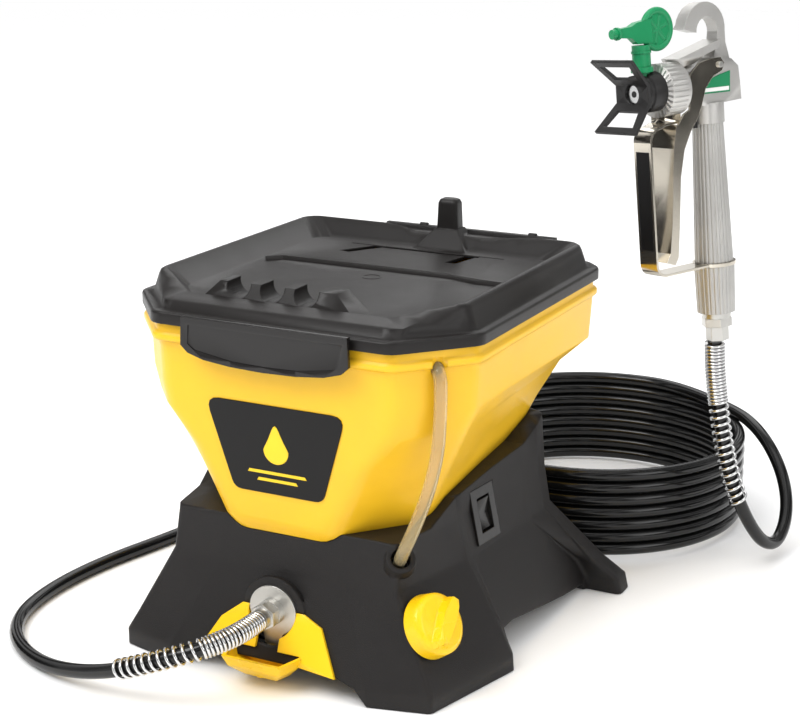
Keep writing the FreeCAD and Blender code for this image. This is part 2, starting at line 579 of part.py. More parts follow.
# ---- outlet, tray, knob and switch -----------------------------------------------------
def outlet_parts():
    y = FRONT_Y
    washer = rod((0, y, OUTLET_Z), (0, -1, 0), 20.5, 2.2)
    tab = plate([(-9, y, OUTLET_Z - 17), (9, y, OUTLET_Z - 17), (7, y, OUTLET_Z - 28), (0, y, OUTLET_Z - 30),
                 (-7, y, OUTLET_Z - 28)], (0, -2.2, 0))
    washer = washer.fuse(tab).cut(rod((0, y + 1, OUTLET_Z), (0, -1, 0), 9.0, 6))
    keep("outlet_washer", washer)
    # threaded outlet nipple with a round shoulder, screwed into the pump
    fitting = rod((0, y + 34.0, OUTLET_Z), (0, -1, 0), 8.0, 36.0)
    fitting = fitting.fuse(rod((0, y - 2.2, OUTLET_Z), (0, -1, 0), 10.5, 6.0))
    fitting = fitting.fuse(rod((0, y - 8.0, OUTLET_Z), (0, -1, 0), 7.0, 8.0))
    keep("outlet_fitting", fitting.cut(rod((0, y + 40, OUTLET_Z), (0, -1, 0), 3.5, 70)))
    # drip tray under the outlet: two wings on the base's sloping front and a scoop between them
    wings = [(-54, 27), (-44, 44), (-27, 57), (27, 57), (44, 50), (62, 17), (30, 19.5), (-25, 19.5)]
    back = plate([(x, -150.2 + (z - 14.0) * FRONT_SLOPE, z) for x, z in wings], (0, -2.6, 1.0))
    scoop = loft([(8.0, [(-14, -156), (14, -156), (18, -144), (18, -139), (-18, -139), (-18, -144)]),
                  (18.0, [(-23, -167), (23, -167), (28, -149), (28, -139), (-28, -139), (-28, -149)]),
                  (27.5, [(-26, -171), (26, -171), (32, -150), (32, -139), (-32, -139), (-32, -150)])])
    dish = loft([(11.0, [(-12, -153.5), (12, -153.5), (15.5, -143), (15.5, -141), (-15.5, -141), (-15.5, -143)]),
                 (18.0, [(-20.6, -164), (20.6, -164), (25.4, -148), (25.4, -141), (-25.4, -141), (-25.4, -148)]),
                 (28.0, [(-23.6, -168.4), (23.6, -168.4), (29.4, -149), (29.4, -141), (-29.4, -141),
                         (-29.4, -149)])])
    body = fuse([back, scoop]).cut(dish)
    body = body.cut(rod((0, -120, OUTLET_Z), (0, -1, 0), 21.0, 60))
    body = body.cut(box(-10, 10, -152, -130, 25.6, 50))
    boss = ring((0, -153, 10.5), (0, -0.25, 1), 6.0, 4.4, 1.6)
    body = body.fuse(boss)
    body = body.cut(PARTS["base_housing"])
    keep("outlet_tray", sorted(body.Solids, key=lambda s: -s.Volume)[0])


def along(point, axis, distance):
    return [point[i] + distance * axis[i] for i in range(3)]


def knob_frame(shape):
    """Place a shape drawn about +Z onto the knob's own axis."""
    spin = FreeCAD.Rotation(V(0, 0, 1), V(*KNOB_AXIS)).multiply(FreeCAD.Rotation(V(0, 0, 1), -62))
    shape.Placement = FreeCAD.Placement(V(*KNOB_SEAT), spin)
    return shape


def knob_parts():
    skirt = Part.makeCone(25.0, 23.5, 12.0, V(0, 0, 0.6))
    dome = Part.makeCone(23.5, 19.0, 3.0, V(0, 0, 12.6))
    grip_outline = [(-22, -3.5), (-16, -6.5), (-4, -8.5), (10, -7.5), (21, -4.5), (23.5, 0), (21, 4.5), (10, 7.5),
                    (-4, 8.5), (-16, 6.5), (-22, 3.5)]
    small = [(0.86 * x, 0.72 * y) for x, y in grip_outline]
    grip = loft([(8.0, grip_outline), (25.5, small)])
    body = fuse([skirt, dome, grip])
    body = body.cut([Part.makeCylinder(21.0, 8.0, V(0, 0, -1)).cut(Part.makeCylinder(11.0, 10.0, V(0, 0, -1))),
                     Part.makeCylinder(7.0, 14.0, V(0, 0, -4))])
    keep("pressure_knob", knob_frame(body))
    stem = Part.makeCylinder(6.9, 30.0, V(0, 0, -21)).cut(box(-8, 8, 5.4, 9, -2, 12))
    keep("valve_stem", knob_frame(stem))
    valve = Part.makeCylinder(9.0, 24.0, V(0, 0, -30)).fuse(Part.makeCylinder(13.0, 14.0, V(0, 0, -30)))
    valve = valve.cut(Part.makeCylinder(6.95, 30.0, V(0, 0, -21)))
    keep("prime_valve", knob_frame(valve))


def switch_parts():
    frame = switch_box(17.2, 22.2, 0.4, 3.2).cut(switch_box(9.2, 14.2, -3, 8))
    well = switch_box(14.9, 19.9, -10.5, 1.0).cut(switch_box(9.2, 14.2, -9, 8))
    pivot = switch_frame(rod((-3.5, -10.2, 0), (0, 1, 0), 1.35, 20.4))
    keep("switch_housing", frame.fuse(well).cut(pivot))
    rocker = side_plate([(-1.6, -13.0), (-5.4, -8.0), (-5.4, 8.0), (-1.6, 13.0), (3.0, 12.2), (-0.2, 0.0),
                         (1.0, -12.6)], -8.9, 8.9)
    rocker = rocker.fuse(rod((-3.5, -10.0, 0), (0, 1, 0), 1.3, 20.0))
    keep("switch_rocker", switch_frame(rocker))


# ---- drive and pump --------------------------------------------------------------------
CENTRES = 0.5 * GEAR_MODULE * (GEAR_TEETH + PINION_TEETH)
MOTOR_Y = CRANK_Y + CENTRES * math.cos(MOTOR_DROP)
MOTOR_Z = OUTLET_Z - CENTRES * math.sin(MOTOR_DROP)
GEAR_X = (34.0, 42.0)
MOTOR_X = (-102.0, -37.4)
FRAME_X = (-37.0, 23.0)        # near faces of the two side webs of the gear frame
CRANK_R = 5.0


def motor_parts():
    x0, x1 = MOTOR_X
    at = lambda x: (x, MOTOR_Y, MOTOR_Z)
    can = ring(at(x0), (1, 0, 0), MOTOR_R, MOTOR_R - 1.8, x1 - x0)
    caps = [ring(at(x), (1, 0, 0), MOTOR_R - 1.0, 3.05, 3.0) for x in (x0, x1 - 3.0)]
    can = fuse([can] + caps)
    keep("motor_can", can)
    shaft = rod(at(x0 - 20.0), (1, 0, 0), 3.0, GEAR_X[1] - x0 + 21.0)
    keep("motor_shaft", shaft)
    core = ring(at(x0 + 12), (1, 0, 0), MOTOR_R - 8.5, 3.0, 40.0)
    cuts = []
    for i in range(10):
        groove = box(x0 + 11, x0 + 53, MOTOR_Y + 9, MOTOR_Y + 20, MOTOR_Z - 0.9, MOTOR_Z + 0.9)
        groove.rotate(V(0, MOTOR_Y, MOTOR_Z), V(1, 0, 0), 36 * i)
        cuts.append(groove)
    keep("motor_armature", core.cut(cuts))
    hub = ring(at(x0 - 16), (1, 0, 0), 8.0, 3.0, 10.0)
    blades = []
    for i in range(8):
        blade = box(x0 - 16, x0 - 6, MOTOR_Y + 6, MOTOR_Y + 22, MOTOR_Z - 0.8, MOTOR_Z + 0.8)
        blade.rotate(V(0, MOTOR_Y, MOTOR_Z), V(1, 0, 0), 45 * i)
        blades.append(blade)
    keep("motor_fan", fuse([hub] + blades))
    mesh = math.pi - MOTOR_DROP
    phase = mesh + math.pi / PINION_TEETH
    keep("pinion", gear(PINION_TEETH, GEAR_MODULE, 3.0, GEAR_X[0] - 1, GEAR_X[1] + 1, (MOTOR_Y, MOTOR_Z), phase))
    keep("drive_gear", gear(GEAR_TEETH, GEAR_MODULE, 5.0, GEAR_X[0], GEAR_X[1], (CRANK_Y, OUTLET_Z), -MOTOR_DROP))


def crank_parts():
    at = lambda x: (x, CRANK_Y, OUTLET_Z)
    shaft = fuse([rod(at(FRAME_X[0]), (1, 0, 0), 5.0, -10.0 - FRAME_X[0]),
                  rod(at(8.0), (1, 0, 0), 5.0, GEAR_X[1] - 8.0 + 2.0),
                  rod(at(-13.0), (1, 0, 0), 10.0, 5.0), rod(at(8.0), (1, 0, 0), 10.0, 5.0),
                  rod((-9.0, CRANK_Y, OUTLET_Z - CRANK_R), (1, 0, 0), 3.0, 18.0)])
    keep("crankshaft", shaft)
    keep("crank_bearings", Part.makeCompound([ring(at(x), (1, 0, 0), 9.5, 5.05, 7.0) for x in FRAME_X]))
    low = PAN_Z + 3.1
    floor = box(FRAME_X[0], FRAME_X[1] + 7, CRANK_Y - 16, MOTOR_Y + 4, low, low + 4.4)
    saddle = box(-99, FRAME_X[0] + 1, 46, MOTOR_Y + 20, low, low + 4.4)
    cradle = box(-95, -83, MOTOR_Y - 17, MOTOR_Y + 17, low, MOTOR_Z - 12)
    frame = fuse([side_web(x, 7.0) for x in FRAME_X] + [floor, saddle, cradle])
    frame = frame.cut([rod((-40, CRANK_Y, OUTLET_Z), (1, 0, 0), 9.5, 90),
                       rod((MOTOR_X[0] - 1, MOTOR_Y, MOTOR_Z), (1, 0, 0), MOTOR_R, MOTOR_X[1] - MOTOR_X[0] + 1.2),
                       rod((-40, MOTOR_Y, MOTOR_Z), (1, 0, 0), 9.5, 90)])
    keep("gear_frame", sorted(frame.Solids, key=lambda s: -s.Volume)[0])


def side_web(x, thick):
    outline = ((CRANK_Y - 16, PAN_Z + 3.1), (MOTOR_Y + 12, PAN_Z + 3.1), (MOTOR_Y + 20, 40.0),
               (MOTOR_Y + 8, MOTOR_Z + 14), (CRANK_Y + 13, OUTLET_Z + 13), (CRANK_Y - 12, OUTLET_Z + 13),
               (CRANK_Y - 16, OUTLET_Z + 2))
    return plate([(x, y, z) for y, z in outline], (thick, 0, 0))


PUMP_Y = (-94.0, -18.0)


def pump_parts():
    y0, y1 = PUMP_Y
    block = box(-22, 22, y0, y1, OUTLET_Z - 20, OUTLET_Z + 14).fuse(
        rod((SUMP[0], SUMP[1], OUTLET_Z), (0, 0, 1), 21.0, 17.2))
    block = block.fuse(rod((0, y0 + 1, OUTLET_Z), (0, -1, 0), 13.0, 8.0))
    legs = [box(x - 6, x + 6, y0 + 12, y0 + 24, PAN_Z + 3.1, OUTLET_Z - 10) for x in (-30, 30)]
    block = block.fuse(legs)
    block = block.fuse(box(-34, 34, y0 + 12, y0 + 24, OUTLET_Z - 18, OUTLET_Z - 10))
    block = block.cut([rod((0, y1 + 1, OUTLET_Z), (0, -1, 0), 9.0, 15.0),
                       rod((0, y1 + 1, OUTLET_Z), (0, -1, 0), 6.1, 52.0),
                       rod((0, y0 - 20, OUTLET_Z), (0, 1, 0), 8.0, 40.0),
                       rod((0, y0 - 20, OUTLET_Z), (0, 1, 0), 3.0, 60.0),
                       rod((SUMP[0], SUMP[1], OUTLET_Z + 7.2), (0, 0, 1), 8.0, 30.0),
                       rod((SUMP[0], SUMP[1], OUTLET_Z), (0, 0, 1), 4.0, 30.0)])
    keep("pump_block", block)
    keep("rod_packing", ring((0, y1, OUTLET_Z), (0, -1, 0), 9.0, 5.05, 14.0))
    inlet_seat = ring((SUMP[0], SUMP[1], OUTLET_Z + 7.2), (0, 0, 1), 7.95, 3.0, 5.0)
    outlet_seat = ring((0, y0 + 19.8, OUTLET_Z), (0, -1, 0), 7.95, 3.0, 5.0)
    keep("valve_seats", Part.makeCompound([inlet_seat, outlet_seat]))
    keep("valve_balls", Part.makeCompound([Part.makeSphere(4.5, V(SUMP[0], SUMP[1], OUTLET_Z + 15.6)),
                                           Part.makeSphere(4.5, V(0, y0 + 11.4, OUTLET_Z))]))
    piston = rod((0, -60.0, OUTLET_Z), (0, 1, 0), 5.0, CRANK_Y - 15.5 + 60.0)
    keep("piston", piston)
    yoke = side_yoke()
    keep("yoke", yoke)


def side_yoke():
    """Slotted yoke that the crank's pin drives to and fro."""
    reach, rise = 16.0, 15.0
    frame = box(-6.5, 6.5, CRANK_Y - reach - 4.0, CRANK_Y + reach + 4.0, OUTLET_Z - rise - 4, OUTLET_Z + rise + 4)
    frame = frame.cut(box(-8, 8, CRANK_Y - reach + 2, CRANK_Y + reach - 2, OUTLET_Z - rise + 2, OUTLET_Z + rise - 2))
    return frame.cut(rod((0, CRANK_Y - 30, OUTLET_Z), (0, 1, 0), 5.0, 14.5))


def electronics():
    board = box(-88, -58, -66, 34, 44, 45.6)
    chips = [box(-84, -70, -60, -36, 45.6, 58), rod((-78, -20, 45.6), (0, 0, 1), 8.0, 22.0),
             box(-70, -60, -5, 25, 45.6, 62), box(-86, -76, 5, 20, 45.6, 55)]
    fins = [box(-69.5 + 3.0 * i, -68.3 + 3.0 * i, -5, 25, 60, 70) for i in range(4)]
    keep("control_board", fuse([board] + chips + fins))


# ---- hose -----------------------------------------------------------------------------
FRONT_ROUTE = (
    (0, -158, 56), (0, -178, 56), (-9, -198, 53), (-26, -213, 47.5), (-50, -221.5, 39), (-73, -224.5, 30),
    (-95, -223.5, 21.5), (-125, -219.5, 13), (-155, -214, 8), (-184, -203.5, 6), (-210, -187, 6),
    (-231, -164, 6), (-245, -135, 6), (-251.5, -101, 6), (-252.5, -66, 6), (-249, -30, 6), (-242, 5, 6),
    (-233, 39, 6), (-225, 74, 6), (-219, 110, 6), (-212, 145, 6), (-199, 178, 6), (-180, 207, 6),
    (-156, 233, 6), (-130, 256, 6), (-104, 278, 6), (-82, 304, 6), (-67, 328, 6),
)
LEAD_ROUTE = (
    (205, 409.5, 91), (231, 383, 87), (252, 359, 78), (269, 339, 63), (280.5, 321, 44.5), (285.5, 301, 26),
    (283.5, 279, 13.5), (277, 257, 21.5), (269, 243, 40), (261, 234, 62), (253, 228, 86), (246.5, 225.5, 113),
    (241, 225, 141), (236.3, 225, 169), (233.0, 225, 196), (232.3, 225, 212),
)


def coil_point(angle, z):
    a = math.radians(angle)
    return (COIL_CENTRE[0] + COIL_R * math.cos(a), COIL_CENTRE[1] + COIL_R * math.sin(a), z)


def hose_parts():
    front = FRONT_ROUTE + (coil_point(COIL_START, HOSE_R + 0.2),)
    lead = (coil_point(COIL_END, COIL_TOP),) + LEAD_ROUTE
    front_path = route(front, "front hose")
    lead_path = route(lead, "gun lead")
    cx, cy = COIL_CENTRE
    coil = ring((cx, cy, 0), (0, 0, 1), COIL_R + HOSE_R + 0.4, COIL_R - HOSE_R - 0.4, COIL_TOP + HOSE_R)
    keep("hose_coil", coil)
    for name, path in (("hose_front", front_path), ("hose_lead", lead_path)):
        tube = pipe(path, HOSE_R)
        print(name, "volume against section times length",
              round(tube.Volume / (math.pi * HOSE_R ** 2 * path.Length), 4))
        keep(name, max(tube.cut(coil).Solids, key=lambda piece: piece.Volume))
    turns = math.radians(360.0 * COIL_TURNS) * math.hypot(COIL_R, COIL_PITCH / (2 * math.pi))
    print("turns", round(COIL_TURNS, 2), "coil length", round(turns, 1), "whole hose",
          round(turns + front_path.Length + lead_path.Length, 1))
    spring_path = sub_route(front, 0, 5)
    keep("hose_guard_front", pipe(spring_path, 8.8, 6.4))
    lead_spring = sub_route(tuple(reversed(lead))[1:], 0, 6)
    keep("hose_guard_gun", pipe(lead_spring, 9.3, 6.4))
    y = FRONT_Y - 8.2
    nut = hexagon((0, y, OUTLET_Z), (0, -1, 0), 19.0, 9.0, 30).fuse(rod((0, y - 9, OUTLET_Z), (0, -1, 0), 8.0, 6.3))
    nut = nut.cut([rod((0, y + 1, OUTLET_Z), (0, -1, 0), 7.0, 9.0), rod((0, y, OUTLET_Z), (0, -1, 0), 3.2, 20.0)])
    keep("hose_nut_front", nut)


# ---- gun ------------------------------------------------------------------------------
def gun_placement():
    up = V(*GUN_UP)
    up.normalize()
    nozzle = V(*GUN_NOZZLE)
    nozzle = nozzle - up * nozzle.dot(up)
    nozzle.normalize()
    x_axis = nozzle * -1.0
    y_axis = up.cross(x_axis)
    matrix = FreeCAD.Matrix(x_axis.x, y_axis.x, up.x, GUN_FOOT[0], x_axis.y, y_axis.y, up.y, GUN_FOOT[1],
                            x_axis.z, y_axis.z, up.z, GUN_FOOT[2], 0, 0, 0, 1)
    return FreeCAD.Placement(matrix)


def keep_gun(name, shape):
    shape.Placement = gun_placement().multiply(shape.Placement)
    keep(name, shape)


UP = (0, 0, 1)
HEAD_Z = 208.0                 # the nozzle's axis
TRIGGER_PIVOT = (3.2, 223.1)
LOCK_AT = (-16.8, 181.5)
TIP_X = -70.5                  # the spray tip's own axis


def fluted(z0, z1, r0, r1, count, depth):
    body = Part.makeCone(r0, r1, z1 - z0, V(0, 0, z0))
    cuts = []
    for i in range(count):
        a = 2 * math.pi * i / count
        start = V((r0 + 0.55 * depth) * math.cos(a), (r0 + 0.55 * depth) * math.sin(a), z0 - 0.5)
        end = V((r1 + 0.55 * depth) * math.cos(a), (r1 + 0.55 * depth) * math.sin(a), z1 + 0.5)
        cuts.append(Part.makeCylinder(depth, (end - start).Length, start, end - start))
    return body.cut(cuts)


def gun_handle_parts():
    swivel = hexagon((0, 0, 0), UP, 23.0, 7.5).fuse(rod((0, 0, 7.5), UP, 12.2, 4.8))
    swivel = swivel.fuse([rod((0, 0, 12.3), UP, 8.0, 9.0), rod((0, 0, -6.5), UP, 6.0, 7.0)])
    keep_gun("gun_swivel", swivel.cut(rod((0, 0, -8), UP, 3.2, 40)))
    nut = hexagon((0, 0, -12.5), UP, 17.0, 12.2, 15).cut(rod((0, 0, -6.8), UP, 6.0, 8))
    nut = nut.cut(rod((0, 0, -14), UP, 3.2, 20))
    keep_gun("hose_nut_gun", nut)
    cap = fluted(12.6, 53.8, 16.2, 17.2, 26, 1.1)
    cap = cap.cut([rod((0, 0, 10), UP, 8.05, 14.0), rod((0, 0, 22), UP, 11.0, 24.0),
                   rod((0, 0, 43.5), UP, 12.0, 12.0)])
    keep_gun("handle_cap", cap)
    handle = fluted(57.0, 174.8, 16.4, 12.9, 26, 1.1).fuse(rod((0, 0, 44.0), UP, 12.0, 14.0))
    keep_gun("gun_handle", handle.cut([rod((0, 0, 30), UP, 9.0, 126.0), rod((0, 0, 150), UP, 4.0, 30.0)]))
    filt = ring((0, 0, 42), UP, 7.6, 6.4, 104).fuse([ring((0, 0, 40), UP, 8.6, 4.0, 4), rod((0, 0, 145), UP, 8.6, 4)])
    keep_gun("gun_filter", filt)


def gun_body_parts():
    px, pz = TRIGGER_PIVOT
    block = side_plate([(-28, 197), (-14, 190.5), (29.6, 191.6), (28.8, 206), (27.4, 219.5), (20, 226), (10, 229.5),
                        (-4, 229), (-10, 222), (-28, 219)], -11.0, 11.0)
    collar = rod((0, 0, 175.0), UP, 14.2, 17.0)
    neck = rod((-33.0, 0, HEAD_Z), (1, 0, 0), 11.0, 29.0)
    hook = side_plate([(24, 221), (18.7, 240)] + arc_points((-4.0, 252.3), 22.7, -8, 165, 14) + [(-29.0, 255.0)]
                      + [(-13.8, 250.8)] + arc_points((-2.0, 250.7), 12.0, 165, -5, 10) + [(8, 238), (2, 224)],
                      -6.0, 6.0)
    body = fuse([block, collar, neck, hook])
    body = body.cut([rod((0, 0, 165), UP, 6.0, 36.0), rod((LOCK_AT[0], 0, LOCK_AT[1]), (1, 0, 0), 2.05, 14.0),
                     rod((-40, 0, HEAD_Z), (1, 0, 0), 3.6, 56.0), rod((px, -20, pz), (0, 1, 0), 2.5, 40.0)])
    keep_gun("trigger_pin", rod((px, -15.8, pz), (0, 1, 0), 2.5, 31.6))
    head = rod((-58, 0, HEAD_Z), (1, 0, 0), 22.0, 21.0).fuse(cone((-37.2, 0, HEAD_Z), (1, 0, 0), 22.0, 15.0, 4.0))
    head = head.fuse(rod((-64.2, 0, HEAD_Z), (1, 0, 0), 8.0, 7.0))
    cuts = [rod((-70, 0, HEAD_Z), (1, 0, 0), 4.2, 50.0)]
    for i in range(30):
        a = math.radians(12 * i)
        cuts.append(rod((-55, 22.5 * math.cos(a), HEAD_Z + 22.5 * math.sin(a)), (1, 0, 0), 1.0, 15.0))
    head = head.cut(cuts)
    bridge = side_plate([(-40, 231.7), (-35.5, 224.6), (-22, 226.5), (-8, 232.5), (7, 236.5), (8.5, 243.2)], -10, 10)
    bridge = bridge.cut([body, head])
    keep_gun("bridge_plate", max(bridge.Solids, key=lambda piece: piece.Volume))
    keep_gun("gun_body", body)
    keep_gun("gun_head", head)
    needle = rod((-60.0, 0, HEAD_Z), (1, 0, 0), 2.0, 62.5).fuse(rod((-26, 0, HEAD_Z), (1, 0, 0), 3.5, 14.0))
    needle = needle.fuse(cone((-63.0, 0, HEAD_Z), (1, 0, 0), 0.8, 2.0, 3.0))
    keep_gun("needle", needle)
    guard_path = [(-38, 181.0), (-56, 180.5)] + arc_points((-63, 167.5), 11, 90, 180, 6) + [(-74, 68)]
    guard_path += arc_points((-64, 66), 10, 180, 262, 6) + [(-16.0, 55.6)]
    guard = strap(guard_path, 2.0, 20.0)
    loop = ring((0, 0, 54.0), UP, 18.4, 12.3, 2.9)
    lug = side_plate([(-56, 179.5), (-38, 180.0), (-38, 188), (-56, 188)], -8.0, 8.0)
    guard = fuse([guard, loop, lug])
    guard = guard.cut([rod((-70, 0, HEAD_Z), (1, 0, 0), 22.05, 60.0), rod((0, 0, 40), UP, 12.3, 20.0)])
    keep_gun("trigger_guard", max(guard.Solids, key=lambda piece: piece.Volume))


def trigger_parts():
    px, pz = TRIGGER_PIVOT
    cheek = [(8.5, 224), (4.5, 229), (-6, 229), (-20, 226.5), (-30, 219), (-32.4, 211), (-32.6, 190),
             (-40, 187), (-46.5, 179), (-50.5, 160), (-53, 136), (-56, 100), (-60, 73), (-64.5, 66.5), (-57.5, 64), (-53.5, 70),
             (-50, 100), (-46.5, 136), (-41, 158), (-33, 172), (-25, 181), (-19, 192), (-14, 205),
             (-5, 214), (6, 218)]
    cheeks = [side_plate(cheek, 11.8, 13.8), side_plate(cheek, -13.8, -11.8)]
    front = side_plate([(-46.5, 179), (-50.5, 160), (-53, 136), (-56, 100), (-60, 73), (-64.5, 66.5), (-67, 67.5),
                        (-62.4, 74.5), (-58.3, 100.3), (-55.3, 136.3), (-52.8, 160.5), (-48.6, 179.6)], -13.8, 13.8)
    body = fuse(cheeks + [front]).cut(rod((px, -20, pz), (0, 1, 0), 2.55, 40.0))
    keep_gun("trigger", max(body.Solids, key=lambda piece: piece.Volume))
    lx, lz = LOCK_AT
    lock = rod((lx - 2.0, 0, lz), (1, 0, 0), 4.0, 4.0).fuse([box(lx - 2.0, lx + 2.0, -3.0, 3.0, lz - 9.0, lz),
                                                             rod((lx, 0, lz), (1, 0, 0), 2.0, 13.5)])
    keep_gun("trigger_lock", lock)


def wing(side):
    """One sloping frame of the tip guard, above or below the nozzle."""
    rows = {"near": (-81.0, 19.0, 9.0), "far": (-102.0, 24.5, 30.0)}
    hole_rows = {"near": (-86.5, 13.0, 14.5), "far": (-98.0, 17.5, 26.0)}
    outer, hole = [], []
    for corners, (near, far) in ((outer, (rows["near"], rows["far"])),
                                 (hole, (hole_rows["near"], hole_rows["far"]))):
        for x, y, z in ((near[0], -near[1], near[2]), near, far, (far[0], -far[1], far[2])):
            corners.append((x, y, HEAD_Z + side * z))
    thick = (-2.0, 0, -side * 2.0)
    deep = [tuple(p[i] - thick[i] for i in range(3)) for p in hole]
    return plate(outer, thick).cut(plate(deep, [3.0 * t for t in thick]))


def tip_parts():
    hub = rod((-81, 0, HEAD_Z), (1, 0, 0), 15.0, 11.0).fuse(rod((-71, 0, HEAD_Z), (1, 0, 0), 16.5, 12.7))
    web = box(-83.0, -79.6, -19.0, 19.0, HEAD_Z - 10.5, HEAD_Z + 10.5)
    hub = fuse([hub, web, wing(1), wing(-1)])
    hub = hub.cut([rod((-84, 0, HEAD_Z), (1, 0, 0), 8.06, 27.0), rod((TIP_X, 0, HEAD_Z - 9), UP, 6.05, 50.0)])
    keep_gun("tip_guard", max(hub.Solids, key=lambda piece: piece.Volume))
    barrel = rod((TIP_X, 0, HEAD_Z - 8.0), UP, 6.0, 26.0).fuse([rod((TIP_X, 0, HEAD_Z + 16.8), UP, 9.3, 4.4),
                                                              rod((TIP_X, 0, HEAD_Z + 21.0), UP, 7.6, 22.0)])
    key = rounded([(-74, 243), (-62, 241.5), (-49, 240.5), (-41, 246), (-38.1, 258), (-41.5, 270), (-51, 274.8),
                   (-61, 271.5), (-75, 266.6), (-96.2, 263.1), (-100.9, 257.9), (-94.8, 252.3),
                   (-75.2, 247.8)], 5.0, 3)
    handle = side_plate(key, -3.6, 3.6)
    hollow = [(-56, 247), (-50, 245.5), (-44.5, 250), (-43, 258), (-45.5, 266), (-51.5, 269.5), (-57, 266),
              (-54, 256)]
    pockets = [side_plate(hollow, -4.0, -1.6), side_plate(hollow, 1.6, 4.0)]
    tip = fuse([barrel, handle]).cut(pockets + [rod((-82, 0, HEAD_Z), (1, 0, 0), 1.2, 30.0)])
    keep_gun("spray_tip", tip)


def main():
    base_parts()
    tank_parts()
    lid_parts()
    outlet_parts()
    knob_parts()
    switch_parts()
    motor_parts()
    crank_parts()
    pump_parts()
    electronics()
    hose_parts()
    gun_handle_parts()
    gun_body_parts()
    trigger_parts()
    tip_parts()
    os.makedirs("parts", exist_ok=True)
    for name, shape in PARTS.items():
        if not shape.isValid() or shape.Volume <= 0:
            print("check", name, shape.isValid(), shape.Volume)
        shape.exportStep("parts/" + name + ".step")
    print(len(PARTS), "nodes")


main()
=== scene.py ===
import json
import math

import bmesh
import bpy
from mathutils import Matrix, Vector


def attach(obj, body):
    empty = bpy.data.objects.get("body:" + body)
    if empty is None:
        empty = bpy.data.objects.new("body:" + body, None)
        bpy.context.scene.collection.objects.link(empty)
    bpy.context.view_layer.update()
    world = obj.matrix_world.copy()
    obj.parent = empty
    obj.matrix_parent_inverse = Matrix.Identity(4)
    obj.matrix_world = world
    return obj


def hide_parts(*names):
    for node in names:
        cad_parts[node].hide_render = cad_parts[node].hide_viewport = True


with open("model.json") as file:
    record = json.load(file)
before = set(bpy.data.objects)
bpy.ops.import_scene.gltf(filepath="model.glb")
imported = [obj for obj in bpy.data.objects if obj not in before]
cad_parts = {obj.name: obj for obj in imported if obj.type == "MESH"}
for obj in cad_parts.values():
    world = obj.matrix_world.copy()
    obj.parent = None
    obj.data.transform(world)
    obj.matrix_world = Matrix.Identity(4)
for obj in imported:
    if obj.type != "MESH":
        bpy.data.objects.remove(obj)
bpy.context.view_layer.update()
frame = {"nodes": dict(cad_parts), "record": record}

MM = 0.001

# ---- sizes repeated from the part, in millimetres ---------------------------------------
HOSE_R = 5.8
COIL_CENTRE = (82.0, 325.0)
COIL_LIFT = 0.2
COIL_R = 144.0
COIL_PITCH = 11.7
COIL_START, COIL_END = 169.0, 50.0
COIL_TURNS = 7 + (COIL_START - COIL_END) / 360.0
COIL_TOP = HOSE_R + COIL_TURNS * COIL_PITCH

# The hose's two leads: from the outlet to the coil, and from the coil up to the gun.
FRONT_ROUTE = (
    (0, -158, 56), (0, -178, 56), (-9, -198, 53), (-26, -213, 47.5), (-50, -221.5, 39), (-73, -224.5, 30),
    (-95, -223.5, 21.5), (-125, -219.5, 13), (-155, -214, 8), (-184, -203.5, 6), (-210, -187, 6),
    (-231, -164, 6), (-245, -135, 6), (-251.5, -101, 6), (-252.5, -66, 6), (-249, -30, 6), (-242, 5, 6),
    (-233, 39, 6), (-225, 74, 6), (-219, 110, 6), (-212, 145, 6), (-199, 178, 6), (-180, 207, 6),
    (-156, 233, 6), (-130, 256, 6), (-104, 278, 6), (-82, 304, 6), (-67, 328, 6),
)
LEAD_ROUTE = (
    (205, 409.5, 91), (231, 383, 87), (252, 359, 78), (269, 339, 63), (280.5, 321, 44.5), (285.5, 301, 26),
    (283.5, 279, 13.5), (277, 257, 21.5), (269, 243, 40), (261, 234, 62), (253, 228, 86), (246.5, 225.5, 113),
    (241, 225, 141), (236.3, 225, 169), (233.0, 225, 196), (232.3, 225, 212),
)

# The gun's own axes start at its foot: x away from the nozzle, z up its handle.
GUN_FOOT = Vector((233.6, 225.0, 226.6))
GUN_UP = Vector((-0.0977, 0.0, 0.9952)).normalized()
GUN_NOZZLE = Vector((-0.470, -0.882, 0.0))
TIP_X, TIP_HEIGHT = -70.5, 208.0



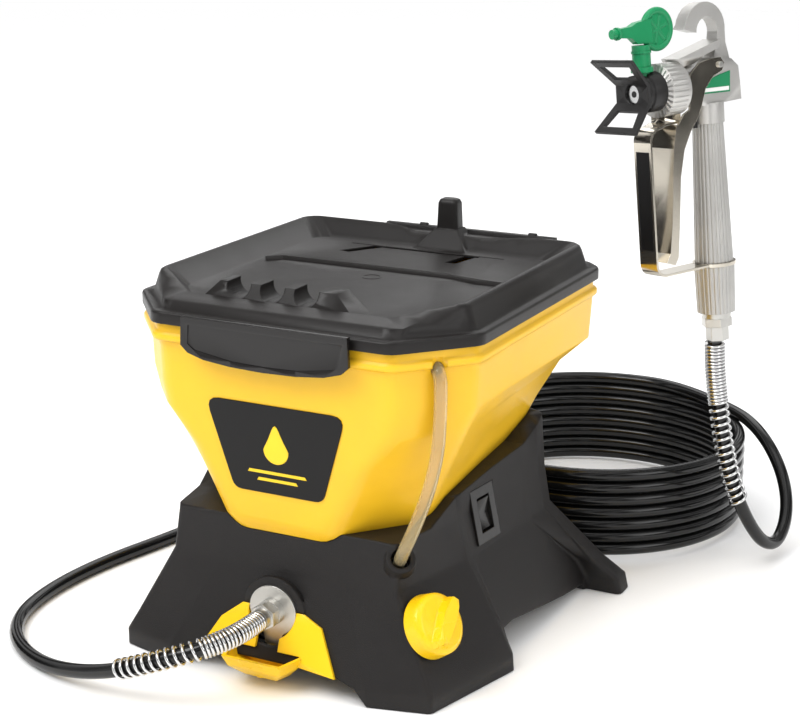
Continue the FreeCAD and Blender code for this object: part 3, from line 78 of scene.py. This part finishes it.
# ---- materials --------------------------------------------------------------------------
def material(name, colour, rough, metal=0.0, vary=0.06, rough_vary=0.08, grain=900.0, bump=0.02, patch=25.0,
             edge=1.0, **extra):
    """A surface whose colour, gloss and height all vary a little, with edges that catch the
    light as if rounded over edge millimetres."""
    made = bpy.data.materials.new(name)
    made.use_nodes = True
    nodes, links = made.node_tree.nodes, made.node_tree.links
    shader = nodes["Principled BSDF"]
    shader.inputs["Metallic"].default_value = metal
    for key, value in extra.items():
        shader.inputs[key.replace("_", " ")].default_value = value
    place = nodes.new("ShaderNodeTexCoord")

    def noise(scale, detail):
        node = nodes.new("ShaderNodeTexNoise")
        node.inputs["Scale"].default_value = scale
        node.inputs["Detail"].default_value = detail
        links.new(place.outputs["Object"], node.inputs["Vector"])
        return node

    broad, fine = noise(patch, 4.0), noise(grain, 2.0)
    tint = nodes.new("ShaderNodeValToRGB")
    tint.color_ramp.elements[0].position = 0.3
    tint.color_ramp.elements[1].position = 0.7
    tint.color_ramp.elements[0].color = (*[c * (1 - vary) for c in colour], 1)
    tint.color_ramp.elements[1].color = (*[min(1, c * (1 + vary)) for c in colour], 1)
    links.new(broad.outputs["Fac"], tint.inputs["Fac"])
    links.new(tint.outputs["Color"], shader.inputs["Base Color"])
    gloss = nodes.new("ShaderNodeMapRange")
    gloss.inputs["To Min"].default_value = max(0.02, rough - rough_vary)
    gloss.inputs["To Max"].default_value = rough + rough_vary
    links.new(broad.outputs["Fac"], gloss.inputs["Value"])
    links.new(gloss.outputs["Result"], shader.inputs["Roughness"])
    relief = nodes.new("ShaderNodeBump")
    relief.inputs["Strength"].default_value = bump
    relief.inputs["Distance"].default_value = 0.001
    links.new(fine.outputs["Fac"], relief.inputs["Height"])
    if edge:
        rounding = nodes.new("ShaderNodeBevel")
        rounding.samples = 4
        rounding.inputs["Radius"].default_value = edge * MM
        links.new(rounding.outputs["Normal"], relief.inputs["Normal"])
    links.new(relief.outputs["Normal"], shader.inputs["Normal"])
    return made


LOOKS = {
    "charcoal_shell": material("charcoal_shell", (0.016, 0.0142, 0.0138), 0.46, grain=1400, bump=0.30,
                               edge=2.2, Specular_IOR_Level=0.36),
    "lid_black": material("lid_black", (0.014, 0.0122, 0.0115), 0.34, grain=1400, bump=0.20, edge=1.6,
                          Specular_IOR_Level=0.38),
    "latch_black": material("latch_black", (0.012, 0.0105, 0.010), 0.20, bump=0.05),
    "tank_yellow": material("tank_yellow", (0.86, 0.52, 0.020), 0.32, vary=0.03, grain=1200, bump=0.10,
                            edge=2.2),
    "bright_yellow": material("bright_yellow", (0.92, 0.58, 0.008), 0.28, vary=0.03, bump=0.05),
    "label_black": material("label_black", (0.008, 0.0075, 0.0075), 0.40, bump=0.03,
                            Specular_IOR_Level=0.3),
    "clear_tube": material("clear_tube", (0.90, 0.78, 0.50), 0.12, vary=0.04, bump=0.02, edge=0.0,
                           Transmission_Weight=0.80, IOR=1.36),
    "black_plastic": material("black_plastic", (0.018, 0.017, 0.017), 0.42, bump=0.10),
    "black_rubber": material("black_rubber", (0.020, 0.020, 0.020), 0.70, bump=0.20),
    "hose_black": material("hose_black", (0.006, 0.006, 0.006), 0.17, bump=0.04, patch=60, edge=0.0),
    "zinc_steel": material("zinc_steel", (0.62, 0.61, 0.58), 0.34, metal=1.0, bump=0.05),
    "spring_steel": material("spring_steel", (0.74, 0.74, 0.74), 0.20, metal=1.0, bump=0.03, edge=0.0),
    "polished_steel": material("polished_steel", (0.72, 0.67, 0.58), 0.16, metal=1.0, bump=0.02, edge=0.5),
    "cast_aluminium": material("cast_aluminium", (0.56, 0.55, 0.53), 0.40, metal=0.85, grain=1600, bump=0.25,
                               edge=0.8),
    "machined_aluminium": material("machined_aluminium", (0.60, 0.60, 0.60), 0.35, metal=1.0, bump=0.06),
    "ground_steel": material("ground_steel", (0.58, 0.58, 0.58), 0.22, metal=1.0, bump=0.03),
    "gear_steel": material("gear_steel", (0.40, 0.40, 0.41), 0.35, metal=1.0, bump=0.06),
    "brass": material("brass", (0.72, 0.52, 0.22), 0.30, metal=1.0, bump=0.05),
    "motor_steel": material("motor_steel", (0.10, 0.10, 0.11), 0.40, metal=0.4, bump=0.08),
    "copper_core": material("copper_core", (0.40, 0.18, 0.09), 0.35, metal=0.7, bump=0.30, grain=500),
    "board_green": material("board_green", (0.03, 0.16, 0.07), 0.40, vary=0.2, bump=0.05),
    "tip_green": material("tip_green", (0.010, 0.27, 0.105), 0.34, bump=0.05),
    "white_nylon": material("white_nylon", (0.74, 0.74, 0.71), 0.45, bump=0.06),
    "mark_yellow": material("mark_yellow", (0.90, 0.62, 0.02), 0.40, vary=0.02, bump=0.02),
    "badge_green": material("badge_green", (0.012, 0.24, 0.10), 0.35, vary=0.03, bump=0.02),
    "badge_white": material("badge_white", (0.80, 0.80, 0.78), 0.38, vary=0.02, bump=0.02),
}


def dress(obj, look):
    obj.data.materials.clear()
    obj.data.materials.append(LOOKS[look])


NODE_SLOT = {entry["node"]: entry["material_slot"] for entry in frame["record"]["subparts"]}
NODE_BODY = {node: body for body, nodes in frame["record"]["behaviour"]["bodies"].items() for node in nodes}
for node_name, node_object in frame["nodes"].items():
    dress(node_object, NODE_SLOT[node_name])


# ---- building helpers -------------------------------------------------------------------
def place_piece(obj, look, body, instead_of=()):
    """Give a piece its look and the body it rides, and hide the CAD nodes that it stands for."""
    dress(obj, look)
    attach(obj, body)
    if instead_of:
        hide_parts(*instead_of)
    return obj


def soften(node, angle=30.0, look=None):
    """The same shape as a CAD node, with its facets blended wherever they meet at less than angle."""
    form = bmesh.new()
    form.from_mesh(frame["nodes"][node].data)
    bmesh.ops.remove_doubles(form, verts=form.verts, dist=0.00002)
    data = bpy.data.meshes.new(node + "_soft")
    form.to_mesh(data)
    form.free()
    data.shade_smooth()
    data.set_sharp_from_angle(angle=math.radians(angle))
    piece = bpy.data.objects.new(node + "_soft", data)
    bpy.context.scene.collection.objects.link(piece)
    flat = piece.modifiers.new("flat faces stay flat", "WEIGHTED_NORMAL")
    flat.keep_sharp = True
    return place_piece(piece, look or NODE_SLOT[node], NODE_BODY[node], (node,))


def curve_piece(name, points, radius, cyclic=False, smooth=True, resolution=8, round_steps=4):
    """A round bar along points given in millimetres."""
    data = bpy.data.curves.new(name, "CURVE")
    data.dimensions = "3D"
    data.bevel_depth = radius * MM
    data.bevel_resolution = round_steps
    data.use_fill_caps = True
    data.resolution_u = resolution
    line = data.splines.new("NURBS" if smooth else "POLY")
    line.points.add(len(points) - 1)
    for point, at in zip(line.points, points):
        point.co = (at[0] * MM, at[1] * MM, at[2] * MM, 1.0)
    line.use_cyclic_u = cyclic
    if smooth:
        line.order_u = 3
        line.use_endpoint_u = not cyclic
    piece = bpy.data.objects.new(name, data)
    bpy.context.scene.collection.objects.link(piece)
    return piece


def mesh_piece(name, verts, faces):
    """A mesh with flat faces, its points given in millimetres."""
    data = bpy.data.meshes.new(name)
    data.from_pydata([(x * MM, y * MM, z * MM) for x, y, z in verts], [], faces)
    data.update()
    piece = bpy.data.objects.new(name, data)
    bpy.context.scene.collection.objects.link(piece)
    return piece


def slab(name, outline, lift):
    """A closed flat plate: an outline in space (mm) thickened along lift."""
    n = len(outline)
    verts = list(outline) + [tuple(p[i] + lift[i] for i in range(3)) for p in outline]
    faces = [tuple(reversed(range(n))), tuple(range(n, 2 * n))]
    faces += [(i, (i + 1) % n, n + (i + 1) % n, n + i) for i in range(n)]
    piece = mesh_piece(name, verts, faces)
    form = bmesh.new()
    form.from_mesh(piece.data)
    bmesh.ops.recalc_face_normals(form, faces=form.faces)
    form.to_mesh(piece.data)
    form.free()
    return piece


def gun_matrix():
    nozzle = (GUN_NOZZLE - GUN_UP * GUN_NOZZLE.dot(GUN_UP)).normalized()
    x_axis = -nozzle
    y_axis = GUN_UP.cross(x_axis)
    turn = Matrix((x_axis, y_axis, GUN_UP)).transposed().to_4x4()
    return Matrix.Translation(GUN_FOOT) @ turn


GUN = gun_matrix()


def on_gun(x, y, z):
    """A point given on the gun's own axes, moved to where the gun stands."""
    return tuple(GUN @ Vector((x, y, z)))


# ---- the hose ---------------------------------------------------------------------------
def coil_turns(per_turn=16):
    """Control points of the coil: a helix just wide enough that the spline runs at COIL_R."""
    steps = round(COIL_TURNS * per_turn)
    wide = COIL_R / (0.75 + 0.25 * math.cos(2 * math.pi / per_turn))
    points = []
    for i in range(1, steps):
        part = i / steps
        angle = math.radians(COIL_START - 360.0 * COIL_TURNS * part)
        points.append((COIL_CENTRE[0] + wide * math.cos(angle), COIL_CENTRE[1] + wide * math.sin(angle),
                       HOSE_R + COIL_LIFT + (COIL_TOP - HOSE_R - COIL_LIFT) * part))
    return points


def centreline(curve):
    """Points along a curve's own line, in millimetres."""
    bare = curve.copy()
    bare.data = curve.data.copy()
    bare.data.bevel_depth = 0.0
    bpy.context.scene.collection.objects.link(bare)
    depsgraph = bpy.context.evaluated_depsgraph_get()
    depsgraph.update()
    mesh = bpy.data.meshes.new_from_object(bare.evaluated_get(depsgraph))
    points = [v.co / MM for v in mesh.vertices]
    bpy.data.meshes.remove(mesh)
    bpy.data.objects.remove(bare)
    return points


def spring(name, line, start, end, pitches, radius, wire):
    """A coiled guard around a line, from start to end along it; pitches is a list of
    (share of the length, pitch)."""
    lengths = [0.0]
    for a, b in zip(line, line[1:]):
        lengths.append(lengths[-1] + (b - a).length)

    def at(s):
        s = min(max(s, 0.0), lengths[-1])
        for i in range(len(lengths) - 1):
            if lengths[i + 1] >= s:
                part = (s - lengths[i]) / (lengths[i + 1] - lengths[i])
                return line[i].lerp(line[i + 1], part), (line[i + 1] - line[i]).normalized()
        return line[-1], (line[-1] - line[-2]).normalized()

    points, s, turned = [], start, 0.0
    side = None
    steps_per_turn = 14
    while s < end:
        centre, along = at(s)
        if side is None:
            side = along.orthogonal().normalized()
        side = (side - along * side.dot(along)).normalized()
        other = along.cross(side)
        points.append(tuple(centre + (side * math.cos(turned) + other * math.sin(turned)) * radius))
        share = (s - start) / (end - start)
        pitch = next(p for limit, p in pitches if share <= limit)
        s += pitch / steps_per_turn
        turned += 2 * math.pi / steps_per_turn
    return curve_piece(name, points, wire, resolution=2, round_steps=3)


hose_route = list(FRONT_ROUTE) + coil_turns() + list(LEAD_ROUTE)
hose = curve_piece("hose", hose_route, HOSE_R, resolution=10, round_steps=6)
place_piece(hose, "hose_black", "machine", instead_of=("hose_front", "hose_coil", "hose_lead"))
hose_line = centreline(hose)

front_guard = spring("guard_spring_front", hose_line, start=1.0, end=128.0,
                     pitches=[(0.42, 2.9), (1.0, 6.4)], radius=7.5, wire=1.3)
place_piece(front_guard, "spring_steel", "machine", instead_of=("hose_guard_front",))
gun_line = list(reversed(hose_line))
gun_guard = spring("guard_spring_gun", gun_line, start=1.0, end=150.0,
                   pitches=[(0.36, 3.0), (1.0, 6.6)], radius=7.9, wire=1.35)
place_piece(gun_guard, "spring_steel", "machine", instead_of=("hose_guard_gun",))


# ---- smooth shells ----------------------------------------------------------------------
for shell in ("base_housing", "tank", "lid", "lid_latch", "outlet_tray", "pressure_knob", "outlet_washer",
              "gun_body", "gun_head", "trigger_guard", "trigger", "tip_guard", "bridge_plate"):
    soften(shell)
for shell in ("switch_housing", "switch_rocker"):
    soften(shell, look="latch_black")


# ---- marks ------------------------------------------------------------------------------
def label_mark():
    """A plain drop and two bars, standing for nothing, on the front label."""
    face_y, middle_z, slope = -126.45, 178.0, 2.6 / 46.0
    drop_z, drop_r = 183.0, 11.0

    def on_face(x, z):
        return (x, face_y - (z - middle_z) * slope, z)

    drop = []
    for i in range(28):
        a = 2 * math.pi * i / 28
        rise = max(0.0, math.sin(a))
        narrow, stretch = 1.0 - 0.35 * rise, 1.0 + 0.85 * rise ** 3
        drop.append((drop_r * math.cos(a) * narrow, drop_z + drop_r * math.sin(a) * stretch))
    piece = slab("label_drop", [on_face(x, z) for x, z in drop], (0, -0.25, 0))
    place_piece(piece, "mark_yellow", "machine")
    for i, (half, z) in enumerate(((26.0, 163.0), (18.0, 157.0))):
        bar = [(-half, z), (half, z), (half - 1.5, z + 2.6), (-half + 1.5, z + 2.6)]
        piece = slab(f"label_bar_{i}", [on_face(x, h) for x, h in bar], (0, -0.25, 0))
        place_piece(piece, "mark_yellow", "machine")


label_mark()


def ring(count, radius):
    """Points round a circle."""
    angles = [2 * math.pi * i / count for i in range(count)]
    return [(radius * math.cos(a), radius * math.sin(a)) for a in angles]


def gun_slab(name, outline, lift, look, body):
    """A flat plate on the gun, its outline and thickness given on the gun's own axes."""
    piece = slab(name, [on_gun(*point) for point in outline], tuple(GUN.to_3x3() @ Vector(lift)))
    return place_piece(piece, look, body)


def gun_marks():
    """Plain coloured plates on the gun's flank and guard, the steel seat of the tip, and a black disc of
    painted shade in the seat's opening.
    """
    flank = [(-16.6, 200.6), (16.3, 199.2), (17.3, 216.6), (5.0, 214.6), (-8.8, 211.5)]
    gun_slab("gun_badge", [(x, -11.05, z) for x, z in flank], (0, -0.4, 0), "badge_green",
             "gun_body_group")
    strip = [(-14.5, 201.8), (15.0, 200.6), (15.2, 204.0), (-13.3, 205.0)]
    gun_slab("gun_badge_strip", [(x, -11.5, z) for x, z in strip], (0, -0.2, 0), "badge_white",
             "gun_body_group")
    band = [(-75.05, -7.5, 78), (-75.05, 7.5, 78), (-75.05, 7.5, 160), (-75.05, -7.5, 160)]
    gun_slab("guard_band", band, (-0.25, 0, 0), "label_black", "gun_body_group")
    seat = [(-77.2, y, TIP_HEIGHT + z) for y, z in ring(24, 7.6)]
    gun_slab("tip_seat", seat, (-3.4, 0, 0), "ground_steel", "guard_body")
    # The tip's opening is a flat black disc in the black_plastic look: painted shade standing for the dark
    # inside of the hole.
    opening_shade = [(-80.65, y, TIP_HEIGHT + z) for y, z in ring(16, 2.6)]
    gun_slab("tip_orifice", opening_shade, (-0.3, 0, 0), "black_plastic", "guard_body")


gun_marks()


def tip_key():
    """The spray tip with its key: a barrel and stem, a round paddle with ribs, and a pointer."""
    paddle_x, paddle_z = -52.5, 257.6
    paddle_r, taller, rib_r = 14.6, 1.04, 11.5
    pointer_z = 257.9

    def bar(name, points, radius, cyclic=False, smooth=False, instead_of=()):
        route = [on_gun(*point) for point in points]
        piece = curve_piece(name, route, radius, cyclic, smooth, round_steps=7)
        place_piece(piece, "tip_green", "tip_body", instead_of)

    def plate(name, outline, thick):
        near_face = [(x, -thick / 2, z) for x, z in outline]
        gun_slab(name, near_face, (0, thick, 0), "tip_green", "tip_body")

    bar("key_barrel", [(TIP_X, 0, 200.0), (TIP_X, 0, 226.0)], 6.0, instead_of=("spray_tip",))
    bar("key_collar", [(TIP_X, 0, 224.8), (TIP_X, 0, 229.2)], 9.3)
    bar("key_stem", [(TIP_X, 0, 229.0), (TIP_X, 0, 246.5)], 7.6)
    bar("key_stem_band", [(TIP_X, 0, 240.0), (TIP_X, 0, 242.0)], 8.3)
    paddle = [(paddle_x + x, paddle_z + taller * z) for x, z in ring(20, paddle_r)]
    plate("key_plate", paddle, 3.0)
    bar("key_rim", [(x, 0, z) for x, z in paddle], 2.9, cyclic=True, smooth=True)
    for i, angle in enumerate((20, 75, 130)):
        dx, dz = rib_r * math.cos(math.radians(angle)), rib_r * math.sin(math.radians(angle))
        bar(f"key_rib_{i}", [(paddle_x - dx, 0, paddle_z - dz), (paddle_x + dx, 0, paddle_z + dz)], 2.3)
    pointer = [(-60, 247.0), (-60, 267.0), (-76, 265.0), (-82, 262.4), (-95, 261.6), (-95, 254.6),
               (-82, 253.0), (-76, 247.8)]
    plate("key_pointer", pointer, 6.6)
    bar("key_tip_ring", [(-96.4, 0, pointer_z), (-94.4, 0, pointer_z)], 5.2)
    bar("key_tip", [(-100.8, 0, pointer_z), (-94.0, 0, pointer_z)], 3.9)


tip_key()


# ---- camera, light and floor ------------------------------------------------------------
AZIMUTH, ELEVATION = math.radians(26.95), math.radians(16.12)
CAMERA_ACROSS, CAMERA_UP, CAMERA_AWAY = 36.44, 212.42, 1485.18
right = Vector((math.cos(AZIMUTH), math.sin(AZIMUTH), 0))
back = Vector((math.sin(AZIMUTH) * math.cos(ELEVATION), -math.cos(AZIMUTH) * math.cos(ELEVATION),
               math.sin(ELEVATION)))
up = back.cross(right)
camera_data = bpy.data.cameras.new("camera")
camera_data.lens = 78.84
camera_data.sensor_width = 36.0
camera_data.clip_start = 0.01
camera = bpy.data.objects.new("camera", camera_data)
camera.location = (right * CAMERA_ACROSS + up * CAMERA_UP + back * CAMERA_AWAY) * MM
camera.rotation_euler = (math.pi / 2 - ELEVATION, 0, AZIMUTH)
bpy.context.scene.collection.objects.link(camera)
bpy.context.scene.camera = camera


def area_light(name, azimuth, elevation, distance, size, power, target=(0.03, 0.05, 0.15)):
    """A soft lamp aimed at target, standing at an azimuth and elevation from it, in metres."""
    data = bpy.data.lights.new(name, "AREA")
    data.shape = "RECTANGLE"
    data.size, data.size_y = size
    data.energy = power
    lamp = bpy.data.objects.new(name, data)
    a, e = math.radians(azimuth), math.radians(elevation)
    way = Vector((math.sin(a) * math.cos(e), -math.cos(a) * math.cos(e), math.sin(e)))
    lamp.location = Vector(target) + way * distance
    lamp.rotation_euler = way.to_track_quat("Z", "Y").to_euler()
    bpy.context.scene.collection.objects.link(lamp)


area_light("key", -25, 48, 1.9, (1.1, 0.8), 17.0)
area_light("fill", 75, 28, 2.0, (0.9, 1.0), 6.0)
area_light("top", 20, 85, 1.9, (1.6, 1.6), 8.0)
area_light("back", 200, 40, 2.2, (1.6, 1.0), 8.0)


def studio_world():
    """White to the eye. Its light fades towards the horizon, and what shines in the metals is light
    and dark panels, as round a real product table."""
    world = bpy.data.worlds.new("studio")
    world.use_nodes = True
    nodes, links = world.node_tree.nodes, world.node_tree.links
    place = nodes.new("ShaderNodeTexCoord")
    split = nodes.new("ShaderNodeSeparateXYZ")
    links.new(place.outputs["Generated"], split.inputs["Vector"])
    walls = nodes.new("ShaderNodeValToRGB")
    walls.color_ramp.elements[0].position = 0.0
    walls.color_ramp.elements[0].color = (0.30, 0.30, 0.30, 1)
    walls.color_ramp.elements[1].position = 0.45
    walls.color_ramp.elements[1].color = (1.0, 1.0, 1.0, 1)
    links.new(split.outputs["Z"], walls.inputs["Fac"])
    room = nodes["Background"]
    links.new(walls.outputs["Color"], room.inputs["Color"])
    room.inputs["Strength"].default_value = 1.12
    backdrop = nodes.new("ShaderNodeBackground")
    backdrop.inputs["Color"].default_value = (1.0, 1.0, 1.0, 1)
    panels = nodes.new("ShaderNodeTexWave")
    panels.inputs["Scale"].default_value = 1.3
    panels.inputs["Distortion"].default_value = 1.2
    links.new(place.outputs["Generated"], panels.inputs["Vector"])
    shade = nodes.new("ShaderNodeValToRGB")
    shade.color_ramp.elements[0].position = 0.35
    shade.color_ramp.elements[0].color = (0.03, 0.03, 0.03, 1)
    shade.color_ramp.elements[1].position = 0.65
    links.new(panels.outputs["Fac"], shade.inputs["Fac"])
    cards = nodes.new("ShaderNodeBackground")
    links.new(shade.outputs["Color"], cards.inputs["Color"])
    eye = nodes.new("ShaderNodeLightPath")
    gloss = nodes.new("ShaderNodeMixShader")
    links.new(eye.outputs["Is Glossy Ray"], gloss.inputs[0])
    links.new(room.outputs["Background"], gloss.inputs[1])
    links.new(cards.outputs["Background"], gloss.inputs[2])
    choice = nodes.new("ShaderNodeMixShader")
    links.new(eye.outputs["Is Camera Ray"], choice.inputs[0])
    links.new(gloss.outputs["Shader"], choice.inputs[1])
    links.new(backdrop.outputs["Background"], choice.inputs[2])
    links.new(choice.outputs["Shader"], nodes["World Output"].inputs["Surface"])
    bpy.context.scene.world = world


studio_world()

FLOOR_REACH, FLOOR_TOP = 6000.0, -0.2
floor_corners = [(x * FLOOR_REACH, y * FLOOR_REACH, FLOOR_TOP)
                 for x, y in ((-1, -1), (1, -1), (1, 1), (-1, 1))]
floor = mesh_piece("floor", floor_corners, [(0, 1, 2, 3)])
floor.data.materials.append(material("floor_white", (0.93, 0.93, 0.93), 1.0, vary=0.005, bump=0.0,
                                     edge=0.0, Specular_IOR_Level=0.0))

bpy.context.scene.view_settings.view_transform = "Standard"
bpy.context.scene.view_settings.gamma = 0.92
